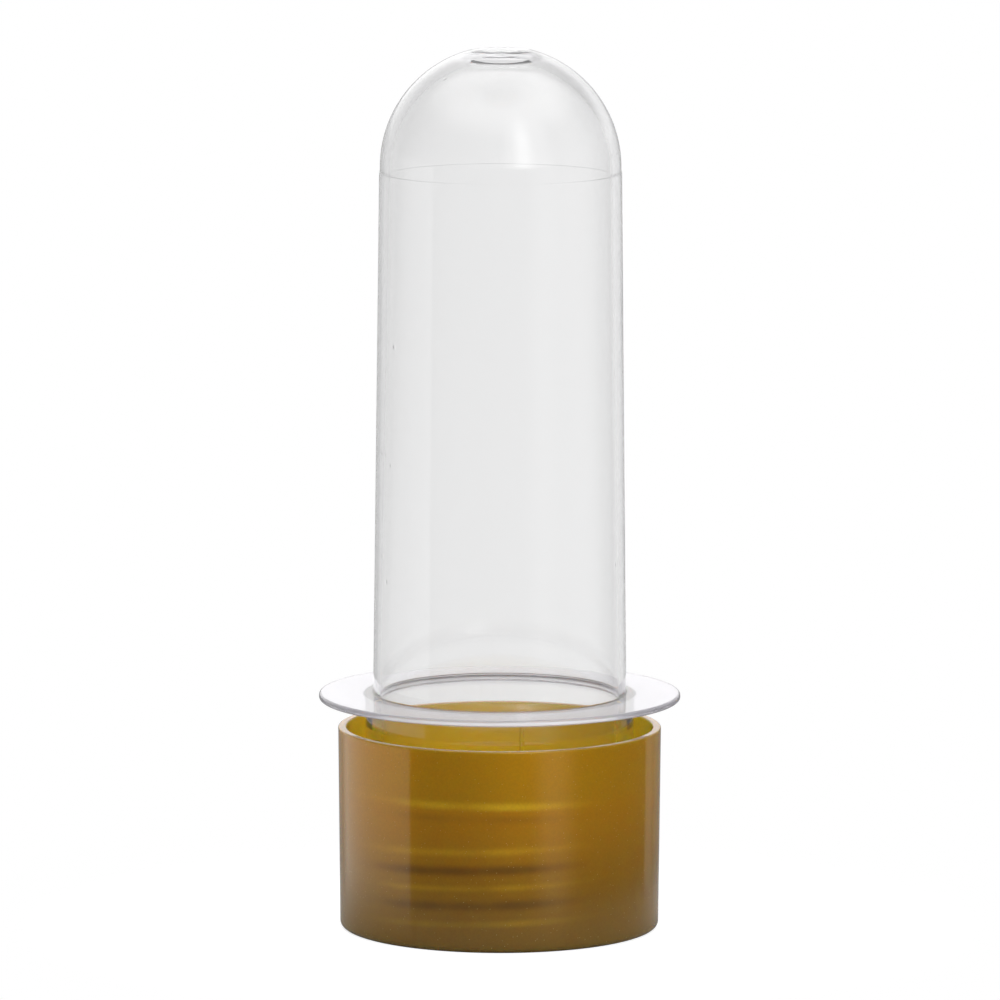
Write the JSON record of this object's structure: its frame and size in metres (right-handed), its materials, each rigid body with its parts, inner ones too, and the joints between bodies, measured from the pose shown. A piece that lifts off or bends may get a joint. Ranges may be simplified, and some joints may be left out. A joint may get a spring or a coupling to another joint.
{
  "type": "screw-cap tube",
  "caption": "Clear round-ended plastic tube with a wide flange, standing dome up on a gold translucent screw cap that seals it.",
  "frame": {"origin": "centre of the cap's flat underside, on the surface that the part stands on", "axes": "+Z along the tube's axis, up from the cap to the dome; -Y is the front, where the neck's parting line shows just to the +X side"},
  "size_m": [0.0326, 0.0326, 0.08],
  "materials": {
    "clear_plastic": "polished clear, water-white polystyrene",
    "gold_plastic": "glossy translucent gold with fine pearl flecks",
    "liner_plastic": "soft milky polyethylene"
  },
  "bodies": {
    "cap": {"screw_cap": "gold_plastic"},
    "liner": {"cap_liner": "liner_plastic"},
    "tube": {"tube": "clear_plastic"}
  },
  "joints": [
    {"name": "tube_turn", "type": "hinge", "parent": "cap", "child": "liner", "pos_m": [0, 0, 0.0012], "axis": [0, 0, 1], "range_deg": [0, 2160]},
    {"name": "tube_lift", "type": "slide", "parent": "liner", "child": "tube", "axis": [0, 0, 1], "range_m": [0, 0.0191]}
  ],
  "couplings": [
    {"joint": "tube_lift", "follows": "tube_turn", "m_per_rad": 0.00050611}
  ]
}
